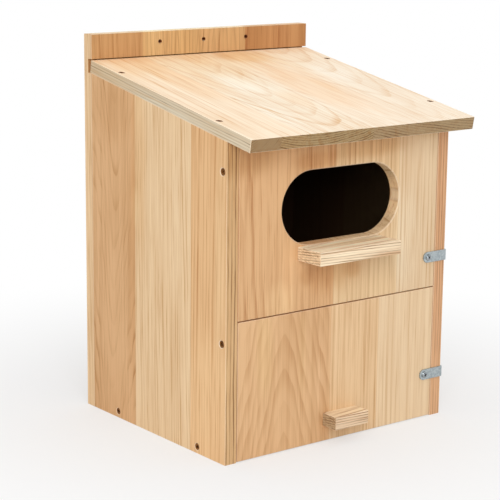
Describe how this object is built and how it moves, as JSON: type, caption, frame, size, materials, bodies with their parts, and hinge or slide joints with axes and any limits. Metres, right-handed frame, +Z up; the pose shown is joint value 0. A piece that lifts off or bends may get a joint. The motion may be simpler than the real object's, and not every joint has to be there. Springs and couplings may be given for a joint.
{
  "type": "duck house",
  "caption": "Wooden duck house: sloping roof, tall back board with hanging holes, wide rounded entrance over a ledge, and swinging front boards held by metal latch straps.",
  "frame": {"origin": "on the ground, in the middle of the box's width and of its depth, back board included", "axes": "+X to the right seen from the front, +Y from the entrance towards the back board, +Z up"},
  "size_m": [0.3143, 0.3074, 0.432],
  "materials": {
    "box_wood": "smooth planed softwood, unfinished",
    "roof_wood": "smooth planed softwood, unfinished, pale",
    "trim_wood": "smooth planed softwood, unfinished",
    "strap_zinc": "dull zinc plate",
    "screw_steel": "plated steel, slightly worn"
  },
  "bodies": {
    "house": {"back_panel": "box_wood", "left_side": "box_wood", "right_side": "box_wood", "floor": "box_wood", "roof": "roof_wood", "roof_screws": "screw_steel", "floor_screws": "screw_steel", "back_screws": "screw_steel", "catch_screws": "screw_steel"},
    "upper_flap": {"upper_front": "box_wood", "entrance_ledge": "trim_wood", "ledge_screws": "screw_steel", "upper_latch_strap": "strap_zinc", "upper_latch_screw": "screw_steel", "upper_pivot_screws": "screw_steel"},
    "lower_flap": {"lower_front": "box_wood", "pull_handle": "trim_wood", "handle_screws": "screw_steel", "lower_latch_strap": "strap_zinc", "lower_latch_screw": "screw_steel", "lower_pivot_screws": "screw_steel"}
  },
  "joints": [
    {"name": "upper_front_hinge", "type": "hinge", "parent": "house", "child": "upper_flap", "pos_m": [0, -0.1265, 0.3115], "axis": [-1, 0, 0], "range_deg": [0, 90]},
    {"name": "lower_front_hinge", "type": "hinge", "parent": "house", "child": "lower_flap", "pos_m": [0, -0.1265, 0.1305], "axis": [-1, 0, 0], "range_deg": [0, 90]}
  ]
}
